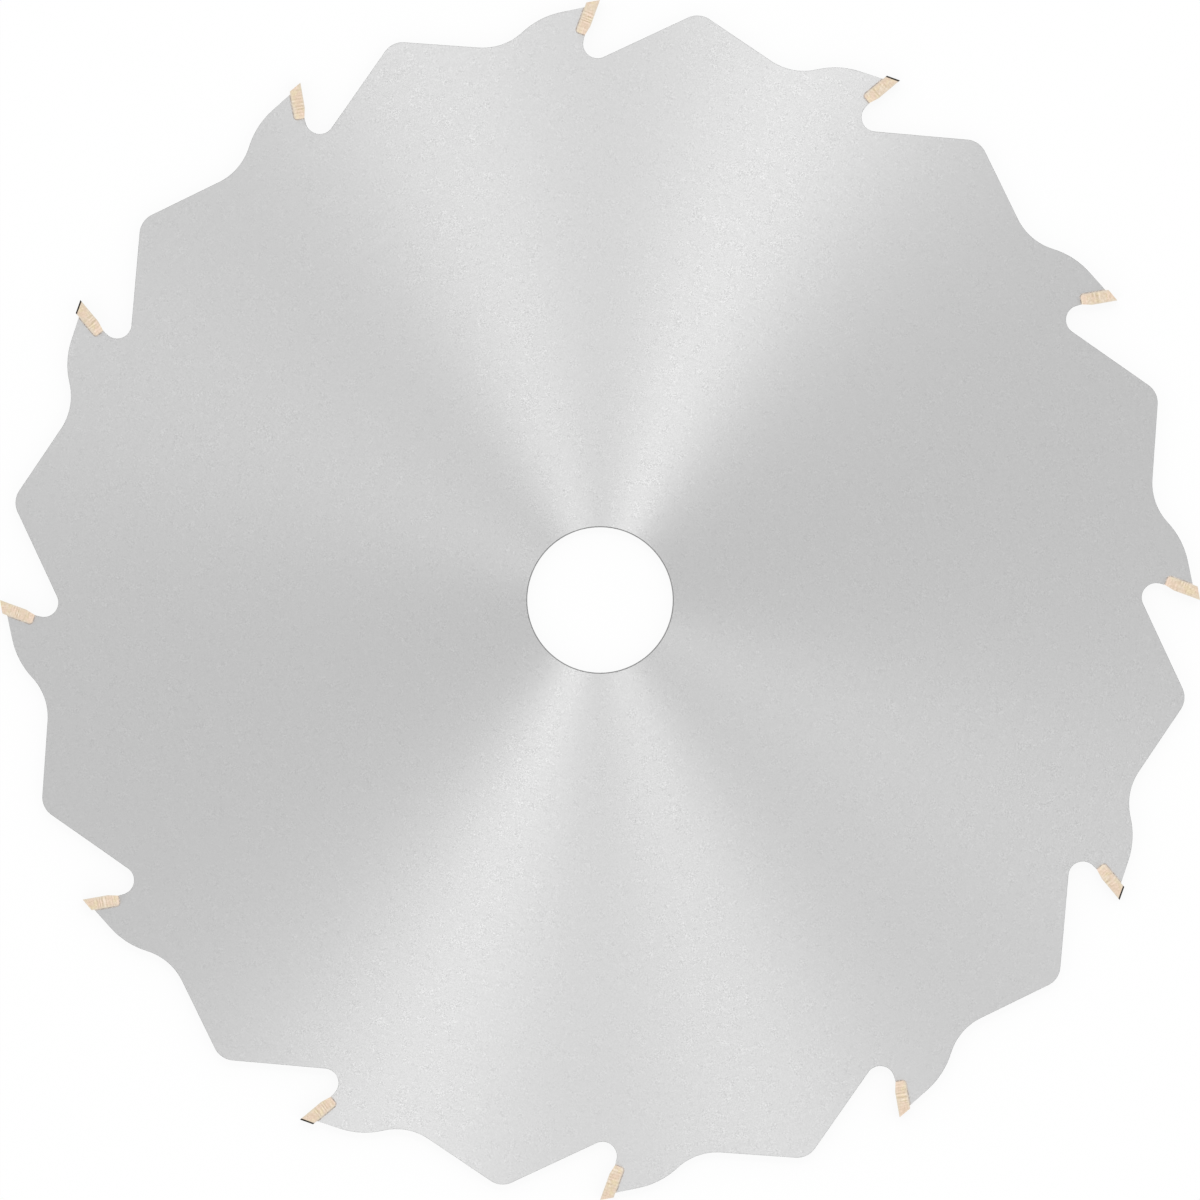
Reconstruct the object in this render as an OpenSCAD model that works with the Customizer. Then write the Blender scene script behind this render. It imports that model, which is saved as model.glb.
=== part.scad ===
// Circular saw blade with brazed carbide tips: a steel plate with a chip limiter behind each gullet,
// and tips ground in a repeating pattern of left bevel, right bevel and flat.
// The bore's axis is Z, the plate's middle is at Z = 0, and tooth 1 points along Y.
// Each tooth is drawn pointing up, and the blade turns clockwise, so a tooth cuts to its right.

/* [Blade] */
// Diameter over the cutting edges
blade_d = 165; // [140:1:200]
// Number of teeth
teeth = 12; // [10:1:15]
// Diameter of the bore
bore_d = 20; // [12:0.1:40]
// Thickness of the steel plate
plate_t = 1.6; // [1.2:0.1:2]
// Edge break round each mouth of the bore
bore_chamfer = 0.15; // [0.05:0.05:0.4]

/* [Gullet] */
// Lean of the steel under the tip, from the tooth's own radius
front_a = 15; // [5:1:20]
// Length of the straight steel under the tip
front_l = 0.6; // [0.3:0.1:2]
// Radius at the bottom of the gullet
gullet_r = 2; // [1.5:0.1:3]
// Rise of the gullet's floor towards the chip limiter
floor_a = 25; // [20:1:30]

/* [Chip limiter] */
// Drop of the chip limiter's crest below the cutting circle
limiter_drop = 1; // [0.6:0.1:1.8]
// Radius of the chip limiter's crest
limiter_r = 3; // [2:0.1:4]
// Fall of the chip limiter's back
limiter_a = 34; // [28:1:44]

/* [Tooth back] */
// Fall of the tooth's back behind the tip
back_a = 12; // [10:0.5:14]
// Length of the tooth's straight back behind the tip
back_l = 3.2; // [2:0.1:5]
// Radius of the hump that the tooth's back runs into
hump_r = 11; // [9:0.1:13]
// Radius of the valley between the hump and the chip limiter
valley_r = 8; // [6:0.1:10]
// Drop of the steel below the cutting circle, where it meets the back of the tip
shoulder_drop = 1; // [0.7:0.1:1.5]

/* [Carbide tips] */
// Width of cut, across the two outer corners of the tips
kerf = 2.6; // [2.4:0.1:3.2]
// Length of a tip along its cutting face
tip_l = 5.2; // [4.6:0.1:5.6]
// Thickness of a tip behind its cutting face
tip_t = 1.65; // [1.4:0.05:2]
// Radius of a tip's corner that sits in the seat
tip_corner_r = 0.4; // [0.2:0.05:0.6]
// Length of the relief at the foot of the cutting face
relief_l = 1.4; // [1:0.1:2]
// Set-back of the relief at the tip's foot
relief_t = 0.3; // [0.1:0.05:0.5]
// Thickness of the braze between a tip and its seat
braze_t = 0.15; // [0.05:0.05:0.25]

/* [Grind] */
// Hook angle of the cutting face
hook_a = 20; // [15:1:24]
// Clearance angle behind the cutting edge
clearance_a = 10; // [6:1:14]
// Bevel across the top of the bevelled tips
bevel_a = 5; // [2:0.5:10]
// Drop of the flat tips below the cutting circle
raker_drop = 0.3; // [0.1:0.05:0.5]
// Taper of each side towards the blade's centre
radial_a = 1; // [0.5:0.25:2]
// Taper of each side towards the back of the tip
side_a = 2; // [0.5:0.25:3]

/* [Hidden] */
$fn = 96;
blade_r = blade_d / 2;
pitch_a = 360 / teeth;

// Carbide left on a tip's top and sides until it is ground
stock = 0.6;
// Size of a grinding wheel, wider than a tip is long
wheel = 4 * tip_l;
// Overlap of each arc with the lines that it blends into
blend = 0.001;
// Run of the bore's cut past each face of the plate
through = 1;
// Turn of the hump's sector past both of its ends
hump_spare_a = 4;
// A sector's sides run out to this share of its radius
sector_reach = 1.2;

// How each tip in turn is ground: 1 is high on the upper side, -1 on the lower side, 0 is flat
grind = [1, -1, 0];

// Seat of a tip: the tip's own size and the braze all round it
seat_t = tip_t + braze_t;
seat_l = tip_l + braze_t;
seat_corner_r = tip_corner_r + braze_t;

// A direction that leans clockwise from the tooth's own radius
function lean(a) = [sin(a), cos(a)];
// A point or direction turned clockwise about the bore
function turned(p, a) = [p.x * cos(a) + p.y * sin(a), p.y * cos(a) - p.x * sin(a)];
// Where a line from p along d meets the circle of radius r round c: way is -1 going in, 1 coming out
function on_circle(p, d, c, r, way) =
  let (q = p - c, b = q * d)
  p + (way * sqrt(b * b - q * q + r * r) - b) * d;
// Where a line from p along d meets a line from q along e
function crossing(p, d, q, e) =
  p + d * ((q.x - p.x) * e.y - (q.y - p.y) * e.x) / (d.x * e.y - d.y * e.x);
// A point of the tip, so far down the cutting face and so far behind it
function tip_at(down, back) = [0, blade_r] - down * lean(hook_a) + back * lean(hook_a - 90);

centre = [0, 0];
// Front of the tooth under the tip, from the seat's ledge down into the gullet
ledge_front = tip_at(seat_l, relief_t);
front_end = ledge_front - front_l * lean(front_a);
gullet_c = front_end + gullet_r * lean(front_a + 90);

// Gullet floor, rising to the chip limiter's crest
floor_out = lean(-floor_a);
floor_start = gullet_c - gullet_r * floor_out;
limiter_c = on_circle(floor_start - limiter_r * floor_out, lean(90 - floor_a), centre,
  blade_r - limiter_drop - limiter_r, 1);
floor_end = limiter_c + limiter_r * floor_out;

// Back of the tooth, a straight fall from the steel's shoulder behind the tip
shoulder = on_circle(tip_at(0, seat_t), -lean(hook_a), centre, blade_r - shoulder_drop, -1);
back_out = lean(-back_a);
back_along = lean(90 - back_a);
nose = crossing(shoulder, back_along, ledge_front, lean(front_a));

// Hump at the end of the next tooth's back
hump_end = turned(shoulder - back_l * back_along, pitch_a);
hump_c = hump_end - hump_r * turned(back_out, pitch_a);

// Back of the chip limiter, falling into the valley that meets the hump
fall_out = lean(limiter_a);
fall_start = limiter_c + limiter_r * fall_out;
valley_c = on_circle(fall_start + valley_r * fall_out, lean(limiter_a + 90), hump_c, valley_r + hump_r, -1);
fall_end = valley_c - valley_r * fall_out;
hump_start = hump_c + (valley_c - hump_c) * hump_r / (valley_r + hump_r);

// Corners of one pitch before its arcs are cut, from the next tooth's back anticlockwise
pitch_corners = [hump_end, hump_start, fall_end, fall_start, floor_end, floor_start, front_end, nose];

function two_digits(k) = str(k < 10 ? "0" : "", k);
function tip_name(k) = str("tip_", two_digits(k));
function braze_name(k) = str("braze_", two_digits(k));

// Puts what is drawn on the top tooth on tooth k, counted clockwise
module on_tooth(k) rotate(-pitch_a * (k - 1)) children();

// Puts a tip's own frame on the top tooth: its cutting face runs down from the origin and its back is at -X
module on_face() translate([0, blade_r]) rotate(-hook_a) children();

module disc(c, r) translate(c) circle(r);

// Block behind the cutting face and above its foot, with its corner rounded as the seat's is
module corner_block(t, l, r, top, front) {
  polygon([[front, top], [-t, top], [-t, r - l], [r - t, -l], [front, -l]]);
  disc([r - t, r - l], r);
}

// Sector of the hump's disc, which ends inside the plate on both sides
module hump() intersection() {
  disc(hump_c, hump_r + blend);
  polygon([
    hump_c,
    hump_c + sector_reach * turned(hump_end - hump_c, hump_spare_a),
    hump_c + sector_reach * turned(hump_start - hump_c, -hump_spare_a)
  ]);
}

// Outline of the steel: the straight stretches, its round crests, and then its round hollows and seats
module plate_outline() difference() {
  union() {
    polygon([for (k = [teeth : -1 : 1]) for (p = pitch_corners) turned(p, pitch_a * (k - 1))]);
    for (k = [1 : teeth]) on_tooth(k) {
      disc(limiter_c, limiter_r + blend);
      hump();
    }
  }
  for (k = [1 : teeth]) on_tooth(k) {
    disc(gullet_c, gullet_r + blend);
    disc(valley_c, valley_r + blend);
    on_face() corner_block(seat_t, seat_l, seat_corner_r, stock, stock);
  }
}

module bore_cut() {
  cylinder(h = plate_t + 2 * through, d = bore_d, center = true);
  for (side = [0, 1]) mirror([0, 0, side])
    translate([0, 0, plate_t / 2 - bore_chamfer])
      cylinder(h = 2 * bore_chamfer, d1 = bore_d, d2 = bore_d + 4 * bore_chamfer);
}

module blade_body() color("#cecece") difference() {
  linear_extrude(plate_t, center = true) plate_outline();
  bore_cut();
}

// Everything beyond a plane through the origin that faces along Y
module wheel_above() translate([-wheel / 2, 0, -wheel / 2]) cube(wheel);

// Grinding of a tip's top: falls behind the cutting edge, and to one side where it is bevelled
module top_grind(high_side) {
  drop = high_side == 0 ? raker_drop / cos(hook_a) : 0;
  translate([0, -drop, high_side * kerf / 2])
    rotate([0, 0, hook_a + clearance_a])
      rotate([-high_side * bevel_a, 0, 0])
        wheel_above();
}

// Grinding of both sides: widest at the outer end of the cutting edge
module side_grind() for (side = [0, 1]) mirror([0, 0, side])
  translate([0, 0, kerf / 2])
    rotate([90 + radial_a, 0, 0])
      rotate([0, 0, side_a])
        wheel_above();

module tip_outline() difference() {
  corner_block(tip_t, tip_l, tip_corner_r, stock, 0);
  polygon([[0, relief_l - tip_l], [0, -tip_l - stock], [-relief_t, -tip_l - stock], [-relief_t, -tip_l]]);
}

module tip(k) color("#e6d3ba") on_tooth(k) on_face() difference() {
  linear_extrude(kerf + stock, center = true) tip_outline();
  top_grind(grind[(k - 1) % len(grind)]);
  side_grind();
}

module braze(k) color("#b9a98c") on_tooth(k) linear_extrude(plate_t, center = true) difference() {
  on_face() corner_block(seat_t, seat_l, seat_corner_r, 0, -relief_t);
  on_face() corner_block(tip_t, tip_l, tip_corner_r, stock, stock);
  translate(shoulder) rotate(back_a) translate([-seat_l, 0]) square([2 * seat_l, seat_l]);
}

blade_body();
for (k = [1 : teeth]) tip(k);
for (k = [1 : teeth]) braze(k);
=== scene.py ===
# %% [markdown]
# A circular saw blade with brazed carbide teeth. It is a flat steel plate, with a tip of carbide
# brazed into a seat on each of its teeth. The solids come first, as a fixed frame in metres, and
# everything below is laid on that frame. The blade's size, the plate's thickness and the width of
# cut are measured on the solids, so that they agree with them.

import bmesh
import bpy
import numpy as np
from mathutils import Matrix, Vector


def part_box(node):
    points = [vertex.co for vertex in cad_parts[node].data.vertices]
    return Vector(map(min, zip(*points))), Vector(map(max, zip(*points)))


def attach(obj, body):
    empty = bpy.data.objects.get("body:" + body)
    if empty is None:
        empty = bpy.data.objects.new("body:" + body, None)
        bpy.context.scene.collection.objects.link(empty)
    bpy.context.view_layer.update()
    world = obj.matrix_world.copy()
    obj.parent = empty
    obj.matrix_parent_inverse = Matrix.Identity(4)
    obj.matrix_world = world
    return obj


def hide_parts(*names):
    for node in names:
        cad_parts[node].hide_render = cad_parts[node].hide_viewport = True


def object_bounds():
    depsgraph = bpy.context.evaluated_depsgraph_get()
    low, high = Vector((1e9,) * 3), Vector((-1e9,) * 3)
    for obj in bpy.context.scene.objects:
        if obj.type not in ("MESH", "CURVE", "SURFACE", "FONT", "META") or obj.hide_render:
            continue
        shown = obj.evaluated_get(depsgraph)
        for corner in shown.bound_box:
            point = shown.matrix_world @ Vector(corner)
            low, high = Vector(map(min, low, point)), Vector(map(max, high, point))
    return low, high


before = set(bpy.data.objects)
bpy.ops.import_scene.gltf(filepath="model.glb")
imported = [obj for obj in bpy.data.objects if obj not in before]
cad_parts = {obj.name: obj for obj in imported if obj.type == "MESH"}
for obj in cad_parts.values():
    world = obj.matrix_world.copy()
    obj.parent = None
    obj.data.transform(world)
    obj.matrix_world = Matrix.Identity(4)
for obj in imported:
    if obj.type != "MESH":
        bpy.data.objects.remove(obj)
cad_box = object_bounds()

mm = 0.001
steel_low, steel_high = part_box("blade_body")
blade_r = (cad_box[1].x - cad_box[0].x) / 2
kerf = cad_box[1].z - cad_box[0].z
plate_t = steel_high.z - steel_low.z
teeth = sum(name.startswith("tip_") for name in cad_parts)
pitch_a = 360 / teeth
print(f"blade {2 * blade_r / mm:.1f} mm across, with {teeth} teeth")
print(f"plate {plate_t / mm:.2f} mm thick, kerf {kerf / mm:.2f} mm wide")

# %% [markdown]
# The camera looks straight down on the blade as it lies flat, with X to the right and Y up. Even a
# long lens would see the rim a few degrees from the middle, and so hide the tops of the tips, which
# slope by only a few degrees. A parallel view shows every tooth from straight above, and it is just
# wide enough for the cutting circle to fill the square picture.

# %% Camera
CAMERA_HEIGHT = 0.5

camera_data = bpy.data.cameras.new("camera")
camera_data.type = "ORTHO"
camera_data.ortho_scale = 2 * blade_r
camera = bpy.data.objects.new("camera", camera_data)
camera.location = (0, 0, CAMERA_HEIGHT)
bpy.context.scene.collection.objects.link(camera)
bpy.context.scene.camera = camera
bpy.context.scene.view_settings.view_transform = "Standard"
print(f"parallel view, {camera_data.ortho_scale / mm:.1f} mm wide")

# %% [markdown]
# Every finish and the floor are drawn by shader nodes. Sums of nodes are hard to read as a list of
# links, so a small class wraps a socket: arithmetic on it adds Math nodes, and one method adds any
# other node. A formula can then be read as it is written. Once a shader is whole, it is shown on its
# material, which prints how many nodes it took.

# %% Shader maths
class Shade:
    """A socket in a node tree. Arithmetic on it adds Math nodes, and make() adds any other node."""

    def __init__(self, tree, socket=None):
        self.tree = tree
        self.socket = socket

    def make(self, kind, settings, sockets, output=0):
        """Adds a node, sets its settings, then its sockets to values or links, and wraps one output.
        A socket is found by its identifier, its name or its number."""
        node = self.tree.nodes.new("ShaderNode" + kind)
        for name, value in settings.items():
            setattr(node, name, value)
        by_name = {socket.name: socket for socket in node.inputs}
        by_name.update({socket.identifier: socket for socket in node.inputs})
        for name, value in sockets.items():
            socket = by_name[name] if isinstance(name, str) else node.inputs[name]
            if isinstance(value, Shade):
                self.tree.links.new(value.socket, socket)
            else:
                socket.default_value = value
        outputs = {socket.identifier: socket for socket in node.outputs}
        found = outputs[output] if isinstance(output, str) else node.outputs[output]
        return Shade(self.tree, found)

    def math(self, operation, *values):
        """A Math node on values or sockets."""
        return self.make("Math", {"operation": operation}, dict(enumerate(values)))

    def __add__(self, other):
        return self.math("ADD", self, other)

    def __sub__(self, other):
        return self.math("SUBTRACT", self, other)

    def __rsub__(self, other):
        return self.math("SUBTRACT", other, self)

    def __mul__(self, other):
        return self.math("MULTIPLY", self, other)

    def __truediv__(self, other):
        return self.math("DIVIDE", self, other)

    __radd__ = __add__
    __rmul__ = __mul__

    def rise(self, low, high):
        """0 up to low, 1 from high on, and a smooth rise between them."""
        limits = {"Value": self, "From Min": low, "From Max": high}
        return self.make("MapRange", {"interpolation_type": "SMOOTHSTEP"}, limits)

    def mix(self, first, second):
        """The first colour where this value is 0 and the second where it is 1."""
        sockets = {"Factor_Float": self, "A_Color": first, "B_Color": second}
        return self.make("Mix", {"data_type": "RGBA"}, sockets, "Result_Color")

    def stretched(self, along):
        """This vector times another, axis by axis."""
        return self.make("VectorMath", {"operation": "MULTIPLY"}, {0: self, 1: along})

    def noise(self, scale, detail=2.0):
        """Cloudy values from about 0.3 to 0.7 at the places that this vector gives."""
        return self.make("TexNoise", {}, {"Vector": self, "Scale": scale, "Detail": detail})


# %% Helpers for finishes
# Ranges that hold nearly all and most of a noise's values
ALL_NOISE = (0.3, 0.7)
MOST_NOISE = (0.35, 0.65)


def new_finish(name):
    """An empty material: its node tree, wrapped, and the material itself."""
    finish = bpy.data.materials.new(name)
    finish.use_nodes = True
    finish.node_tree.nodes.clear()
    return Shade(finish.node_tree), finish


def show(shader, owner):
    """Makes a shader the surface of a material or of the world, and prints how many nodes it took."""
    kind = "World" if isinstance(owner, bpy.types.World) else "Material"
    output = shader.tree.nodes.new("ShaderNodeOutput" + kind)
    shader.tree.links.new(shader.socket, output.inputs["Surface"])
    print(f"{owner.name}: {len(shader.tree.nodes)} nodes")


def grey(value):
    """A colour whose red, green and blue are the same value."""
    return (value, value, value, 1)


# %% [markdown]
# The blade lies on a pale floor, on the lowest corners of its tips. Its background is white, which
# the floor's own colour gives: to the camera and in reflections most of it is a plain white, and
# the rest is lit, so that the blade keeps a faint shadow. All other light sees a pale floor.

# %% Floor
FLOOR_HALF = 6.0
FLOOR_GREY = 0.8
FLOOR_OWN_WHITE = 0.9


def seen_directly(nodes):
    """1 on a ray from the camera, off a glossy surface or through glass, and 0 on all other light."""
    camera_ray = nodes.make("LightPath", {}, {}, "Is Camera Ray")
    glossy_ray = nodes.make("LightPath", {}, {}, "Is Glossy Ray")
    through_ray = nodes.make("LightPath", {}, {}, "Is Transmission Ray")
    return camera_ray + glossy_ray + through_ray


nodes, floor_finish = new_finish("pale_floor")
plain = nodes.make("BsdfDiffuse", {}, {"Color": grey(FLOOR_GREY)})
lit = nodes.make("BsdfDiffuse", {}, {"Color": grey(1 - FLOOR_OWN_WHITE)})
own = nodes.make("Emission", {}, {"Color": grey(1), "Strength": FLOOR_OWN_WHITE})
white = nodes.make("AddShader", {}, {0: lit, 1: own})
show(nodes.make("MixShader", {}, {0: seen_directly(nodes), 1: plain, 2: white}), floor_finish)

floor_z = cad_box[0].z
corners = FLOOR_HALF * np.array([(-1, -1), (1, -1), (1, 1), (-1, 1)])
floor_points = np.column_stack([corners, np.full(len(corners), floor_z)])
floor_mesh = bpy.data.meshes.new("floor")
floor_mesh.from_pydata(floor_points.tolist(), [], [range(len(corners))])
floor_mesh.materials.append(floor_finish)
floor = bpy.data.objects.new("floor", floor_mesh)
bpy.context.scene.collection.objects.link(floor)
print(f"floor at {floor_z / mm:.2f} mm, under the lowest tips")

# %% [markdown]
# A ground plate mirrors what stands round it, smeared across its grinding rings. A lamp to one side
# therefore shows as a bright bow tie through the bore, which points at the lamp. The brightest bow
# ties lean a little to both sides of the picture's upright, and a faint one lies nearly across, so
# there are three soft boxes in those directions under an even sky. They stand high, because a low
# lamp would be mirrored as a glare when the blade is seen from the side. The sky is as white as the
# floor to the camera and in reflections, and dimmer as a light, so that with the lamps a colour comes
# out about as it is written.

# %% Sky
SKY_LIGHT = 0.85

world = bpy.data.worlds.new("sky")
world.use_nodes = True
world.node_tree.nodes.clear()
nodes = Shade(world.node_tree)
dim = nodes.make("Background", {}, {"Color": grey(1), "Strength": SKY_LIGHT})
white = nodes.make("Background", {}, {"Color": grey(1), "Strength": 1.0})
show(nodes.make("MixShader", {}, {0: seen_directly(nodes), 1: dim, 2: white}), world)
bpy.context.scene.world = world

# %% Lamps
LAMP_DISTANCE = 2.6
LAMP_ELEVATION = 67


def soft_box(name, azimuth, width, height, power):
    """A rectangular lamp that faces the blade from LAMP_ELEVATION degrees above the floor. Its azimuth
    turns clockwise from Y."""
    turn, rise = np.radians([azimuth, LAMP_ELEVATION])
    away = Vector((np.sin(turn) * np.cos(rise), np.cos(turn) * np.cos(rise), np.sin(rise)))
    lamp = bpy.data.lights.new(name, "AREA")
    lamp.shape = "RECTANGLE"
    lamp.size = width
    lamp.size_y = height
    lamp.energy = power
    placed = bpy.data.objects.new(name, lamp)
    placed.location = LAMP_DISTANCE * away
    placed.rotation_euler = (-away).to_track_quat("-Z", "Y").to_euler()
    bpy.context.scene.collection.objects.link(placed)
    print(f"{name}: {power} W from {azimuth} degrees")


soft_box("key_box", azimuth=21, width=0.3, height=0.45, power=4.65)
soft_box("second_box", azimuth=-17.5, width=0.3, height=0.45, power=3.7)
soft_box("side_box", azimuth=117, width=0.45, height=0.45, power=1.75)

# %% [markdown]
# The plate's two faces are ground on a turning table, which leaves rings too fine to see one by one
# from a step away. They could be modelled as bumps, but a picture can't hold so fine a groove, so the
# finish is made rougher across the rings than along them. From a step away only a fine grain shows,
# which is stronger in some patches than in others, and close up faint rings show too. For those the
# noise is looked up by the way out from the bore, and slowly by the direction round it. What is
# paler is glossier too, so the grain sparkles where the lamps are mirrored.

# %% Grain and rings of the ground faces
GRAIN_SIZE = 0.15 * mm
PATCH_SIZE = 1.2 * mm
PATCH_EDGE = (0.4, 0.7)
BETWEEN_PATCHES = 0.3
RING_WIDTH = 0.08 * mm
RING_TURN = 10
RING_DEPTH = 0.1

nodes, ground_steel = new_finish("ground_steel")
place = nodes.make("TexCoord", {}, {}, "Object")
patch = BETWEEN_PATCHES + (1 - BETWEEN_PATCHES) * place.noise(1 / PATCH_SIZE).rise(*PATCH_EDGE)
flat = place.stretched((1, 1, 0))
way_out = nodes.make("VectorMath", {"operation": "LENGTH"}, {0: flat}, "Value")
way_round = nodes.make("VectorMath", {"operation": "NORMALIZE"}, {0: flat})
ring_place = nodes.make("VectorMath", {"operation": "MULTIPLY_ADD"}, {
    0: way_round,
    1: (RING_TURN, RING_TURN, 0),
    2: nodes.make("CombineXYZ", {}, {"Z": way_out / RING_WIDTH}),
})
rings = RING_DEPTH * (ring_place.noise(1.0) - 0.5)
grain = patch * (place.noise(1 / GRAIN_SIZE) - 0.5) + rings
print(f"grain of {GRAIN_SIZE / mm} mm, rings of {RING_WIDTH / mm} mm")

# %% Ground steel
STEEL_GREY = 0.64
GRAIN_DEPTH = 0.16
STEEL_ROUGHNESS = 0.44
GRAIN_GLOSS = 0.29
ROUGHER_ACROSS = 0.97
ACROSS_THE_RINGS = 0.25

# Half way from black to twice the grey is the grey itself, and the grain moves it up and down
steel = nodes.make("BsdfPrincipled", {}, {
    "Base Color": (0.5 + GRAIN_DEPTH * grain).mix(grey(0), grey(2 * STEEL_GREY)),
    "Roughness": STEEL_ROUGHNESS - GRAIN_GLOSS * grain,
    "Metallic": 1.0,
    "Anisotropic": ROUGHER_ACROSS,
    "Anisotropic Rotation": ACROSS_THE_RINGS,
})
show(steel, ground_steel)

# %% [markdown]
# The plate is cut out by a laser, which leaves darker walls with fine marks from face to face, and
# its sharp edge is then broken a little. The marks are a noise that changes quickly along the wall
# and slowly up it, so the place is squeezed along Z before it is looked up.

# %% Cut edge
MARK_WIDTH = 0.3 * mm
MARK_SQUEEZE = (1, 1, 0.05)
WALL_DARK = grey(0.2)
WALL_PALE = grey(0.3)

nodes, cut_edge = new_finish("cut_edge")
place = nodes.make("TexCoord", {}, {}, "Object")
marks = place.stretched(MARK_SQUEEZE).noise(1 / MARK_WIDTH).rise(*MOST_NOISE)
wall = nodes.make("BsdfPrincipled", {}, {
    "Base Color": marks.mix(WALL_DARK, WALL_PALE),
    "Roughness": 0.4 + 0.15 * marks,
    "Metallic": 1.0,
})
show(wall, cut_edge)

# %% [markdown]
# The bore is turned to size with a small chamfer at each mouth, which is the thin dark line round it
# from above. The cutter leaves fine rings, one above the other, so here the place is squeezed round
# the bore and not along Z.

# %% Turned bore
TURNING_FEED = 0.05 * mm
TURNING_SQUEEZE = (0.1, 0.1, 1)
BORE_DARK = grey(0.28)
BORE_PALE = grey(0.36)

nodes, turned_bore = new_finish("turned_bore")
place = nodes.make("TexCoord", {}, {}, "Object")
turning = place.stretched(TURNING_SQUEEZE).noise(1 / TURNING_FEED).rise(*MOST_NOISE)
bore = nodes.make("BsdfPrincipled", {}, {
    "Base Color": turning.mix(BORE_DARK, BORE_PALE),
    "Roughness": 0.3 + 0.1 * turning,
    "Metallic": 1.0,
})
show(bore, turned_bore)

# %% [markdown]
# The plate's outline repeats at every tooth. From the hump on a tooth's back it runs to the tip's
# seat, round the seat, down the tooth's front into the gullet, up the gullet's floor, over the chip
# limiter and down into the valley before the next hump. All of it is straight lines and arcs that
# touch, so only the arcs are written, and the lines join their ends. A place in the plane is a
# complex number x + iy, because then a turn about the bore is one multiplication.

# %% Lines and arcs in the plane
ARC_STEP = 4


def lean(degrees):
    """A unit step that leans clockwise from straight up: i times e to the minus i times the angle."""
    return 1j * np.exp(-1j * np.radians(degrees))


def leaning(step):
    """The angle at which a step leans clockwise from straight up, from -180 to 180."""
    return np.degrees(np.angle(1j / step))


def turned(place, degrees):
    """A place turned clockwise about the bore: times e to the minus i times the angle."""
    return place * np.exp(-1j * np.radians(degrees))


def arc(centre, radius, start, end):
    """Places on a circle: the centre plus the radius times a unit step that leans from start to end."""
    steps = int(np.ceil(abs(end - start) / ARC_STEP)) + 1
    return centre + radius * lean(np.linspace(start, end, steps))


def meets_circle(place, step, centre, radius, way):
    """Where a line meets a circle: going in for way -1, coming out for way 1.
    With q from the centre to the place and b its part along the step, it is the place
    plus (way times the root of b b - q q + r r, less b) steps."""
    q = place - centre
    b = (q * step.conjugate()).real
    return place + (way * np.sqrt(b * b - abs(q) ** 2 + radius ** 2) - b) * step


print(f"a quarter of a circle takes {len(arc(0, 1, 0, 90))} places")

# %% [markdown]
# The blade's radius was measured above. The other sizes that the outline needs are written here
# again, as the solids are drawn with them: first those of a tip and its seat, then those of the steel.

# %% Sizes of the plate and the tips
HOOK_A = 20
TIP_L = 5.2 * mm
TIP_T = 1.65 * mm
TIP_CORNER_R = 0.4 * mm
RELIEF_L = 1.4 * mm
RELIEF_T = 0.3 * mm
BRAZE_T = 0.15 * mm
SEAT_L = TIP_L + BRAZE_T
SEAT_T = TIP_T + BRAZE_T
SEAT_CORNER_R = TIP_CORNER_R + BRAZE_T

FRONT_A = 15
FRONT_L = 0.6 * mm
GULLET_R = 2 * mm
FLOOR_A = 25
LIMITER_DROP = 1 * mm
LIMITER_R = 3 * mm
LIMITER_A = 34
BACK_A = 12
BACK_L = 3.2 * mm
HUMP_R = 11 * mm
VALLEY_R = 8 * mm
SHOULDER_DROP = 1 * mm


def tip_at(down, back):
    """A place on the top tooth, so far down its cutting face and so far behind it."""
    return 1j * blade_r - down * lean(HOOK_A) + back * lean(HOOK_A - 90)


print(f"the foot of a tip's back is {abs(tip_at(TIP_L, TIP_T)) / mm:.2f} mm from the bore's axis")

# %% One pitch of the outline
ledge_front = tip_at(SEAT_L, RELIEF_T)
gullet_c = ledge_front - FRONT_L * lean(FRONT_A) + GULLET_R * lean(FRONT_A + 90)

floor_start = gullet_c - GULLET_R * lean(-FLOOR_A)
limiter_c = meets_circle(floor_start - LIMITER_R * lean(-FLOOR_A), lean(90 - FLOOR_A), 0,
                         blade_r - LIMITER_DROP - LIMITER_R, 1)

shoulder = meets_circle(tip_at(0, SEAT_T), -lean(HOOK_A), 0, blade_r - SHOULDER_DROP, -1)
hump_c = shoulder - BACK_L * lean(90 - BACK_A) - HUMP_R * lean(-BACK_A)
next_hump_c = turned(hump_c, pitch_a)

fall_start = limiter_c + LIMITER_R * lean(LIMITER_A)
valley_c = meets_circle(fall_start + VALLEY_R * lean(LIMITER_A), lean(LIMITER_A + 90), next_hump_c,
                        VALLEY_R + HUMP_R, -1)
hump_start_a = leaning(turned(valley_c, -pitch_a) - hump_c)
valley_end_a = hump_start_a + pitch_a - 180

seat_corner_c = tip_at(SEAT_L - SEAT_CORNER_R, SEAT_T - SEAT_CORNER_R)
seat_corner = arc(seat_corner_c, SEAT_CORNER_R, HOOK_A - 90, HOOK_A - 180)

one_pitch = np.concatenate([
    arc(hump_c, HUMP_R, hump_start_a, -BACK_A),
    [shoulder],
    seat_corner,
    [ledge_front],
    arc(gullet_c, GULLET_R, FRONT_A - 90, -180 - FLOOR_A),
    arc(limiter_c, LIMITER_R, -FLOOR_A, LIMITER_A),
    arc(valley_c, VALLEY_R, LIMITER_A - 180, valley_end_a)[:-1],
])
turns = np.arange(teeth) * pitch_a
outline = turned(one_pitch[None, :], turns[:, None]).ravel()
gullet_depth = blade_r - abs(gullet_c) + GULLET_R
print(f"outline of {len(outline)} places, gullets {gullet_depth / mm:.2f} mm deep")

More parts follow.
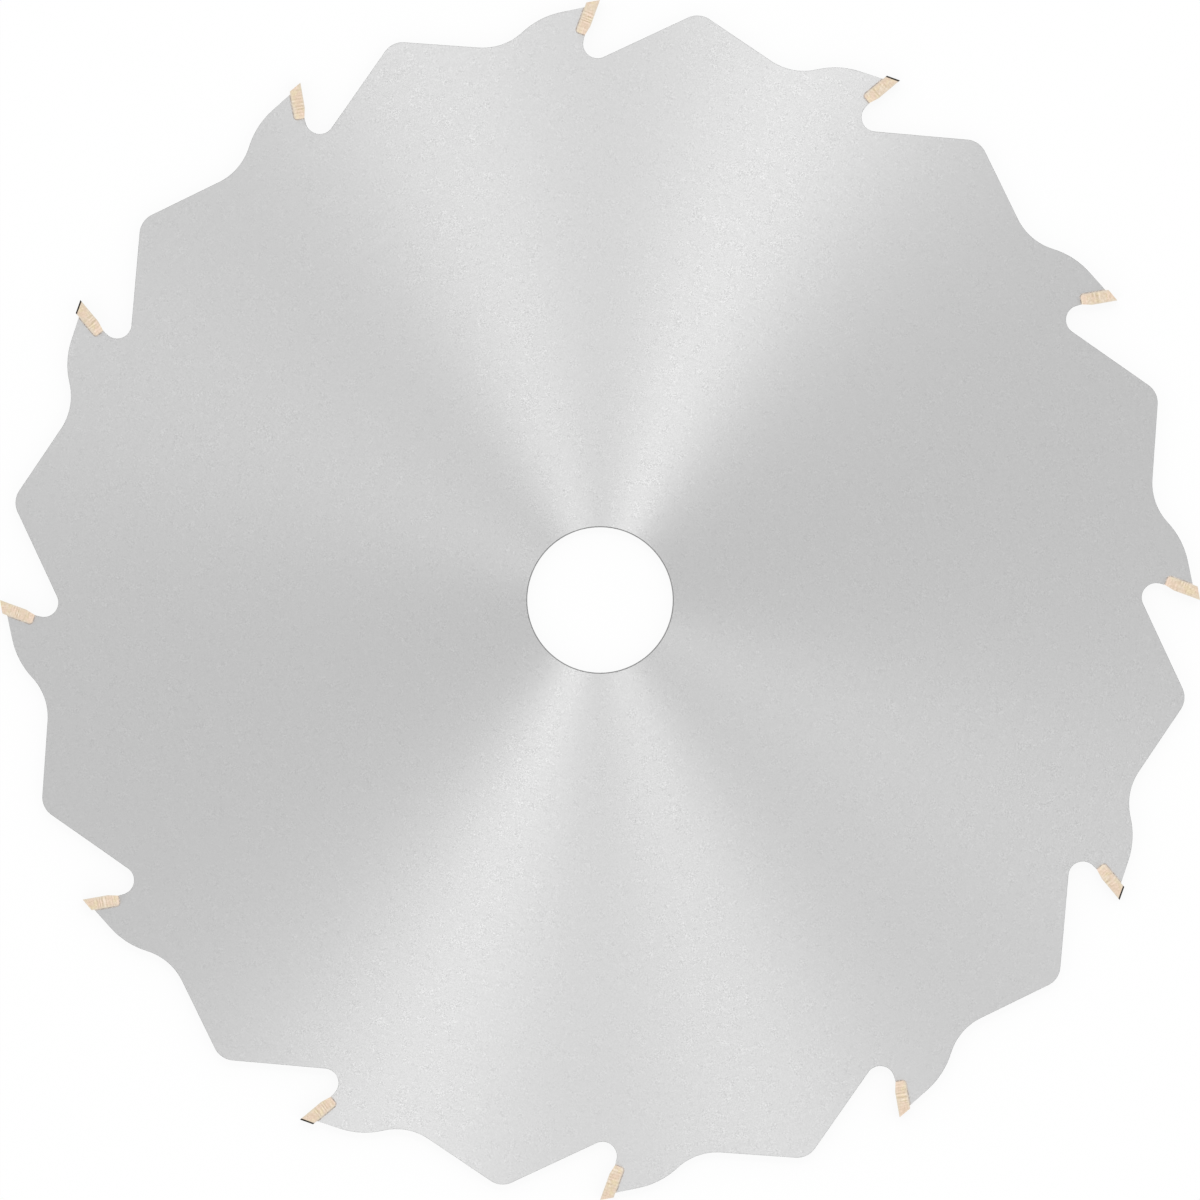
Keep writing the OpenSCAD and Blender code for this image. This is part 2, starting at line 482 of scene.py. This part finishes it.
# %% [markdown]
# The rim is a small profile carried along that outline: down the edge break, down the wall and
# under the lower edge break. At each place the profile moves inwards along the mitre of the two
# lines that meet there, which keeps the break equally wide on lines, arcs and corners. The middle of
# the plate is a profile turned about the bore's axis, and on both faces a flat sector for each tooth
# fills the ground between the two.

# %% Mesh helpers
SHARP_A = 30


def grid_corners(rows, columns):
    """The rows and the columns of the four corners of each cell of a grid: cell (i, j) has rows i and
    i + 1 and columns j and j + 1, and its corners run round it."""
    row, column = np.meshgrid(np.arange(rows - 1), np.arange(columns), indexing="ij")
    at_row = np.stack([row, row, row + 1, row + 1], axis=-1)
    at_column = np.stack([column, column + 1, column + 1, column], axis=-1)
    return at_row.reshape(-1, 4), at_column.reshape(-1, 4)


def grid_quads(rows, columns):
    """Four points for each cell of a grid that closes on itself along its rows: point number row times
    columns plus column, where the column after the last is the first."""
    at_row, at_column = grid_corners(rows, columns)
    return at_row * columns + at_column % columns


def inward_mitres(places):
    """For a clockwise closed outline, the step at each place that moves both of its lines inwards by
    one: the sum of the two lines' inward normals, over one plus their dot product."""
    line = np.roll(places, -1) - places
    normal = -1j * line / abs(line)
    before = np.roll(normal, 1)
    return (before + normal) / (1 + (before * normal.conjugate()).real)


def at_height(places, z):
    """Complex places and a height as rows of x, y and z."""
    return np.column_stack([places.real, places.imag, np.broadcast_to(z, places.shape)])


def make_piece(name, points, faces, finishes, finish_of_face):
    """A mesh object from points and faces, each face with one of the finishes, shaded smooth between
    the edges that turn by less than SHARP_A. It prints the volume that it closes and its open edges."""
    mesh = bpy.data.meshes.new(name)
    mesh.from_pydata(points.tolist(), [], faces)
    for finish in finishes:
        mesh.materials.append(finish)
    mesh.polygons.foreach_set("material_index", finish_of_face)
    mesh.polygons.foreach_set("use_smooth", np.ones(len(faces), bool))
    mesh.set_sharp_from_angle(angle=np.radians(SHARP_A))
    piece = bpy.data.objects.new(name, mesh)
    bpy.context.scene.collection.objects.link(piece)
    check = bmesh.new()
    check.from_mesh(mesh)
    open_edges = sum(not edge.is_manifold for edge in check.edges)
    volume = check.calc_volume(signed=True) / mm ** 3
    check.free()
    print(f"{name}: {len(faces)} faces, {volume:.2f} mm3, {open_edges} open edges")
    return piece


# %% Rim of the plate
EDGE_BREAK = 0.03 * mm
SEAT_BREAK = 0.005 * mm

top = plate_t / 2
in_seat = np.isin(one_pitch, np.concatenate([[shoulder], seat_corner, [ledge_front]]))
width = np.tile(np.where(in_seat, SEAT_BREAK, EDGE_BREAK), teeth)
broken = outline + width * inward_mitres(outline)
rim = np.concatenate([
    at_height(broken, top),
    at_height(outline, top - width),
    at_height(outline, width - top),
    at_height(broken, -top),
])
rim_rows = len(rim) // len(outline)
rim_quads = grid_quads(rim_rows, len(outline))
print(f"rim of {len(rim_quads)} cells")

# %% Middle of the plate
BORE_CHAMFER = 0.15 * mm
MID_R = 70 * mm
MID_RINGS = 6
ARC_PLACES = 30

steel_points = np.empty(3 * len(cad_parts["blade_body"].data.vertices))
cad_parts["blade_body"].data.vertices.foreach_get("co", steel_points)
bore_r = np.hypot(*steel_points.reshape(-1, 3)[:, :2].T).min()

face_r = np.linspace(MID_R, bore_r + BORE_CHAMFER, MID_RINGS)
face_z = np.full(MID_RINGS, top)
profile_r = np.concatenate([face_r, [bore_r, bore_r], face_r[::-1]])
profile_z = np.concatenate([-face_z, [BORE_CHAMFER - top, top - BORE_CHAMFER], face_z])
around = teeth * ARC_PLACES
spokes = lean(leaning(one_pitch[0]) + np.arange(around) * pitch_a / ARC_PLACES)
middle = at_height((profile_r[:, None] * spokes[None, :]).ravel(), np.repeat(profile_z, around))
middle_quads = len(rim) + grid_quads(len(profile_r), around)
print(f"middle of {len(middle_quads)} cells, bore {2 * bore_r / mm:.2f} mm")

# %% Plate
# Corners of the sectors: clockwise along the rim and back along the middle's outer ring
pitch_places = len(one_pitch)
start = np.arange(teeth)[:, None]
along_rim = (start * pitch_places + np.arange(pitch_places + 1)) % len(outline)
along_middle = (start * ARC_PLACES + np.arange(ARC_PLACES, -1, -1)) % around
lower_rim = len(rim) - len(outline)
lower_ring = len(rim)
upper_ring = len(rim) + (len(profile_r) - 1) * around
upper_sectors = np.concatenate([along_rim, upper_ring + along_middle], axis=1)[:, ::-1]
lower_sectors = np.concatenate([lower_rim + along_rim, lower_ring + along_middle], axis=1)

face_groups = [rim_quads, middle_quads, upper_sectors, lower_sectors]
plate_faces = [face for group in face_groups for face in group.tolist()]
plate_finishes = [ground_steel, cut_edge, turned_bore]
on_faces, on_rim, in_bore = range(len(plate_finishes))
middle_finish = np.full((len(profile_r) - 1, around), on_faces)
middle_finish[MID_RINGS - 1:-(MID_RINGS - 1)] = in_bore
plate_finish = np.concatenate([
    np.full(len(rim_quads), on_rim),
    middle_finish.ravel(),
    np.full(2 * teeth, on_faces),
])
plate = make_piece("plate", np.concatenate([rim, middle]), plate_faces, plate_finishes, plate_finish)
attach(plate, "root")
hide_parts("blade_body")

# %% [markdown]
# Here the renderer finds the direction of the grinding rings by itself, from the middle of the plate.
# A viewer of the exported model takes it from the plate's flat map instead, and a map that is only a
# picture of each face would give straight grinding. So the map is drawn round the bore: its width is
# one turn, and its height follows the plate's section, in over the lower face, up the bore, out over
# the upper face and down the rim, which is drawn wider than it is so that its edge breaks have room.

# %% Map round the bore
MAP_NAME = "OFBake"
MAP_GAP = 1 * mm
MAP_RIM = np.array([0, 0.5, 5.5, 6]) * mm


def grid_map(along, down):
    """Places on the map for the corners of grid_quads: a value along the columns and one down the rows.
    There is one more value along than there are columns, so the last cell ends where the map does."""
    at_row, at_column = grid_corners(len(down), len(along) - 1)
    return np.stack([along[at_column], down[at_row]], axis=-1).reshape(-1, 2)


# Heights on the map: the lower sectors, the turned middle, the upper sectors, a gap and the rim
sector_w = blade_r - MID_R
section = np.append(0, np.cumsum(np.hypot(np.diff(profile_r), np.diff(profile_z))))
section_end = sector_w + section[-1]
rim_start = section_end + sector_w + MAP_GAP
map_height = rim_start + MAP_RIM[-1]

run = np.append(0, np.cumsum(abs(np.roll(outline, -1) - outline)))
rim_map = grid_map(run / run[-1], rim_start + MAP_RIM)
middle_map = grid_map(np.arange(around + 1) / around, sector_w + section)

# Each corner of a sector lies on the map by its turn round the bore and its way out from the middle
face_edge = np.append(broken[:pitch_places], turned(broken[0], pitch_a))
edge_turn = (leaning(face_edge) - leaning(face_edge[0])) / pitch_a
sector_turn = np.append(edge_turn, np.arange(ARC_PLACES, -1, -1) / ARC_PLACES)
sector_out = np.append(abs(face_edge) - MID_R, np.zeros(ARC_PLACES + 1))
turn = (start + sector_turn) / teeth
upper_map = np.stack([turn, np.broadcast_to(section_end + sector_out, turn.shape)], axis=-1)[:, ::-1]
lower_map = np.stack([turn, np.broadcast_to(sector_w - sector_out, turn.shape)], axis=-1)

corner_maps = [rim_map, middle_map, upper_map.reshape(-1, 2), lower_map.reshape(-1, 2)]
plate_map = np.concatenate(corner_maps) / (1, map_height)
plate.data.uv_layers.new(name=MAP_NAME).uv.foreach_set("vector", plate_map.ravel())
print(f"map of {len(plate_map)} corners, one turn wide and {map_height / mm:.1f} mm high")

# %% [markdown]
# A tip is a small block of carbide. Its flanks, which stand proud of the plate on both sides, are
# pale, and a little yellow or rosy in places. The side grinding leaves streaks on them from the
# cutting face to the back, about half a millimetre apart, which are strongest half way down, and the
# rest is mottled. Each tip is drawn in its own directions, so its mesh keeps those as an attribute:
# millimetres down the face, behind it and across. The streaks are a wave along the first of these,
# so that they run across the tip on every tooth, and a noise squeezed the same way makes them wander.

# %% Streaks and mottle of the flanks
STREAK_PITCH = 0.45
STREAK_DEPTH = 0.3
STREAKS_START = (1.6, 2.6)
STREAKS_END = (3.4, 4.2)
ABOVE_STREAKS = 0.2
IN_STREAKS = 1.1
BELOW_STREAKS = 0.5
WANDER_SQUEEZE = (1, 0.15, 1)
WANDER_PITCHES = 2
BREAKS_PER_MM = (1.5, 0.8, 1)
MOTTLE_PER_MM = 4.5
FOOT = (4.0, 4.8)
FOOT_PALER = 0.1

nodes, carbide_flank = new_finish("carbide_flank")
tip_place = nodes.make("Attribute", {"attribute_name": "tip_place"}, {}, "Vector")
down = nodes.make("SeparateXYZ", {}, {"Vector": tip_place}, "X")
back = nodes.make("SeparateXYZ", {}, {"Vector": tip_place}, "Y")
wander = tip_place.stretched(WANDER_SQUEEZE).noise(1.0, detail=1.0) - 0.5
wave = nodes.math("SINE", (down / STREAK_PITCH + WANDER_PITCHES * wander) * (2 * np.pi))
unbroken = tip_place.stretched(BREAKS_PER_MM).noise(1.0).rise(*MOST_NOISE)
streaked = ABOVE_STREAKS + (IN_STREAKS - ABOVE_STREAKS) * down.rise(*STREAKS_START)
streaked = streaked - (IN_STREAKS - BELOW_STREAKS) * down.rise(*STREAKS_END)
mottle = tip_place.noise(MOTTLE_PER_MM) - 0.5
tone = 0.5 + STREAK_DEPTH * streaked * unbroken * wave + mottle + FOOT_PALER * down.rise(*FOOT)
print(f"streaks {STREAK_PITCH} mm apart")

# %% Carbide flanks
FLANK_DARK = (0.58, 0.45, 0.29, 1)
FLANK_LIGHT = (1.0, 0.87, 0.74, 1)
FLANK_YELLOW = (1.0, 0.87, 0.62, 1)
FLANK_ROSE = (1.0, 0.79, 0.66, 1)
FLANK_EDGE_GREY = (0.71, 0.65, 0.54, 1)
YELLOW_PER_MM = 1.3
ROSE_PER_MM = 0.9
HUE_EDGE = (0.4, 0.6)
EDGE_BAND_FRONT = (0.0, 0.35)
EDGE_BAND_BACK = (1.3, 1.65)
EDGE_BAND_DEPTH = 0.5
STREAK_RELIEF = 0.02 * mm

yellow = tip_place.noise(YELLOW_PER_MM).rise(*HUE_EDGE)
rose = tip_place.noise(ROSE_PER_MM).rise(*HUE_EDGE)
pale = rose.mix(yellow.mix(FLANK_LIGHT, FLANK_YELLOW), FLANK_ROSE)
# Darker, greyer bands along the flank's front edge, by the cutting face, and along its back edge
edge_band = EDGE_BAND_DEPTH * (1 - back.rise(*EDGE_BAND_FRONT)) + EDGE_BAND_DEPTH * back.rise(*EDGE_BAND_BACK)
relief = {"Strength": 0.3, "Distance": STREAK_RELIEF, "Height": tone}
flank = nodes.make("BsdfPrincipled", {}, {
    "Base Color": edge_band.mix(tone.mix(FLANK_DARK, pale), FLANK_EDGE_GREY),
    "Roughness": 0.6 - 0.2 * tone,
    "Normal": nodes.make("Bump", {}, relief, "Normal"),
})
show(flank, carbide_flank)

# %% [markdown]
# The cutting face and the top of a tip are ground last, by a finer and a coarser wheel. Both come
# out as dark metal, the face with fine lines down it. The top is painted near black, darker than the
# dark grey of ground carbide, as painted shade of a top that lies almost edge on from above. A plain
# metal there would mirror the white round the blade, and a black specular tint takes that gloss away.

# %% Ground cutting face
FACE_DARK = (0.11, 0.105, 0.1, 1)
FACE_PALE = (0.2, 0.19, 0.18, 1)
LINES_PER_MM = (0.5, 0.5, 20)

nodes, carbide_face = new_finish("carbide_face")
tip_place = nodes.make("Attribute", {"attribute_name": "tip_place"}, {}, "Vector")
lines = tip_place.stretched(LINES_PER_MM).noise(1.0, detail=4.0).rise(*ALL_NOISE)
face = nodes.make("BsdfPrincipled", {}, {
    "Base Color": lines.mix(FACE_DARK, FACE_PALE),
    "Roughness": 0.3 + 0.15 * lines,
    "Metallic": 1.0,
})
show(face, carbide_face)

# %% Ground top
# The top's own dark grey, darkened to near black with painted shade
TOP_SHADED_DARK = (0.075, 0.067, 0.056, 1)
TOP_SHADED_PALE = (0.12, 0.107, 0.09, 1)
SCRATCHES_PER_MM = (1.5, 1.5, 18)

nodes, carbide_top_shaded = new_finish("carbide_top_shaded")
tip_place = nodes.make("Attribute", {"attribute_name": "tip_place"}, {}, "Vector")
scratch = tip_place.stretched(SCRATCHES_PER_MM).noise(1.0).rise(*ALL_NOISE)
shaded_top = nodes.make("BsdfPrincipled", {}, {
    "Base Color": scratch.mix(TOP_SHADED_DARK, TOP_SHADED_PALE),
    "Roughness": 0.6 + 0.15 * scratch,
    "Metallic": 1.0,
    "Specular Tint": grey(0),
})
show(shaded_top, carbide_top_shaded)

# %% [markdown]
# The tips are ground in turn: one high on the upper side, one high on the lower side, and one flat
# and a little lower, which clears the chip between them. A tip's outline runs down its face, round
# its foot and up its back. Its half width narrows towards the foot and the back, and the height of
# its top falls behind the cutting edge and, where it is bevelled, to one side.

# %% Shape of a tip
CLEARANCE_A = 10
BEVEL_A = 5
RAKER_DROP = 0.3 * mm
RADIAL_A = 1
SIDE_A = 2
CORNER_PLACES = 9


def tangent(degrees):
    """The tangent of an angle in degrees."""
    return np.tan(np.radians(degrees))


def cosine(degrees):
    """The cosine of an angle in degrees."""
    return np.cos(np.radians(degrees))


def tip_points(high_side):
    """One tip, as rows across its width of down, back and across. The half width is half the kerf, less
    the back times tan side over cos radial, less the way down times tan radial. The top lies below the
    cutting circle by the back times tan (hook + clearance), plus, on a bevelled tip, the distance
    across from its high corner times tan bevel over cos (hook + clearance)."""
    corner = np.radians(np.linspace(0, 90, CORNER_PLACES))
    foot_down = TIP_L - TIP_CORNER_R + TIP_CORNER_R * np.cos(corner)
    foot_back = TIP_T - TIP_CORNER_R + TIP_CORNER_R * np.sin(corner)
    down = np.concatenate([[0, TIP_L - RELIEF_L, TIP_L], foot_down, [0]])
    back = np.concatenate([[0, 0, RELIEF_T], foot_back, [TIP_T]])
    side = np.array([1, -1])[:, None]
    wide = kerf / 2 - back * tangent(SIDE_A) / cosine(RADIAL_A)
    fall = back * tangent(HOOK_A + CLEARANCE_A) + (high_side == 0) * RAKER_DROP / cosine(HOOK_A)
    bevel = abs(high_side) * tangent(BEVEL_A) / cosine(HOOK_A + CLEARANCE_A)
    high = high_side * side
    top_down = (fall + bevel * (kerf / 2 - high * wide)) / (1 - bevel * high * tangent(RADIAL_A))
    on_top = down == 0
    down = np.where(on_top, top_down, down)
    across = side * (wide - down * tangent(RADIAL_A))
    return np.stack([down, np.broadcast_to(back, down.shape), across], axis=-1)


def put_on_tooth(number, local):
    """Points given as down, back and across, put on a tooth that is counted clockwise from the top."""
    places = turned(tip_at(local[..., 0], local[..., 1]), number * pitch_a)
    return np.stack([places.real, places.imag, local[..., 2]], axis=-1).reshape(-1, 3)


print(f"a tip's outline has {tip_points(0).shape[1]} corners")

# %% Tips
GRIND = (1, -1, 0)
PATTERNS_APART = 10


def make_tip(number):
    """One tip: its walls run round the outline, with the cutting face and its relief first and the top
    last, and its two flanks close them."""
    local = tip_points(GRIND[number % len(GRIND)])
    columns = local.shape[1]
    flanks = np.arange(2 * columns).reshape(2, columns)
    faces = [*grid_quads(2, columns).tolist(), flanks[0, ::-1].tolist(), flanks[1].tolist()]
    finishes = [carbide_flank, carbide_face, carbide_top_shaded]
    finish_of_face = np.full(len(faces), finishes.index(carbide_flank))
    finish_of_face[:2] = finishes.index(carbide_face)
    finish_of_face[columns - 1] = finishes.index(carbide_top_shaded)
    name = f"carbide_tip_{number + 1:02d}"
    piece = make_piece(name, put_on_tooth(number, local), faces, finishes, finish_of_face)
    tip_place = piece.data.attributes.new("tip_place", "FLOAT_VECTOR", "POINT")
    own_pattern = np.array([0, 0, PATTERNS_APART * number])
    tip_place.data.foreach_set("vector", (local.reshape(-1, 3) / mm + own_pattern).ravel())
    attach(piece, "root")
    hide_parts(f"tip_{number + 1:02d}")


for number in range(teeth):
    make_tip(number)

# %% [markdown]
# The braze is a thin layer between a tip and its seat. It could stay a plain strip, but when it
# melts it draws a little way up the tip's flank and sets in a hollow fillet, which is what shows as
# a seam. So its section has hollow ends, and it is carried down the tip's back, round its corner
# and under its foot.

# %% Braze finish
BRAZE_BRIGHT = (0.68, 0.61, 0.55, 1)
BRAZE_DULL = (0.48, 0.42, 0.38, 1)
TARNISH_SIZE = 0.4 * mm

nodes, braze_filler = new_finish("braze_filler")
place = nodes.make("TexCoord", {}, {}, "Object")
tarnish = place.noise(1 / TARNISH_SIZE, detail=4.0).rise(*MOST_NOISE)
braze = nodes.make("BsdfPrincipled", {}, {
    "Base Color": tarnish.mix(BRAZE_BRIGHT, BRAZE_DULL),
    "Roughness": 0.5 + 0.2 * tarnish,
    "Metallic": 0.6,
})
show(braze, braze_filler)

# %% Section and path of the braze
FILLET_RISE = 0.08 * mm
FILLET_PLACES = 5

corner = np.radians(np.linspace(90, 0, CORNER_PLACES))
path_down = np.concatenate([[0], TIP_L - TIP_CORNER_R + TIP_CORNER_R * np.cos(corner), [TIP_L]])
path_back = np.concatenate([[TIP_T], TIP_T - TIP_CORNER_R + TIP_CORNER_R * np.sin(corner), [RELIEF_T]])
out_down = np.concatenate([[0], np.cos(corner), [1]])
out_back = np.concatenate([[1], np.sin(corner), [0]])

# The section runs from the tip to the seat on the upper side and back on the lower one
share = np.linspace(0, 1, FILLET_PLACES)
section_share = np.concatenate([share, share[::-1]])
section_z = np.concatenate([top + FILLET_RISE * (1 - share) ** 2, -top - FILLET_RISE * share ** 2])
layer_down = path_down[:, None] + BRAZE_T * section_share * out_down[:, None]
layer_back = path_back[:, None] + BRAZE_T * section_share * out_back[:, None]

# Its first row lies in the slope of the tooth's back
shoulder_down = ((tip_at(0, SEAT_T) - shoulder) * lean(HOOK_A).conjugate()).real
layer_down[0] = shoulder_down - (1 - section_share) * BRAZE_T * tangent(BACK_A + HOOK_A)
layer_across = np.broadcast_to(section_z, layer_down.shape)
layer_local = np.stack([layer_down, layer_back, layer_across], axis=-1)
print(f"braze carried through {len(layer_down)} sections, from {shoulder_down / mm:.2f} mm down the tip")

# %% Braze layers
rows, columns = layer_down.shape
start_cap = np.arange(columns)[::-1]
end_cap = (rows - 1) * columns + np.arange(columns)
layer_faces = [*grid_quads(rows, columns).tolist(), start_cap.tolist(), end_cap.tolist()]
layer_finish = np.zeros(len(layer_faces), int)

for number in range(teeth):
    name = f"braze_layer_{number + 1:02d}"
    points = put_on_tooth(number, layer_local)
    layer = make_piece(name, points, layer_faces, [braze_filler], layer_finish)
    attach(layer, "root")
    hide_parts(f"braze_{number + 1:02d}")
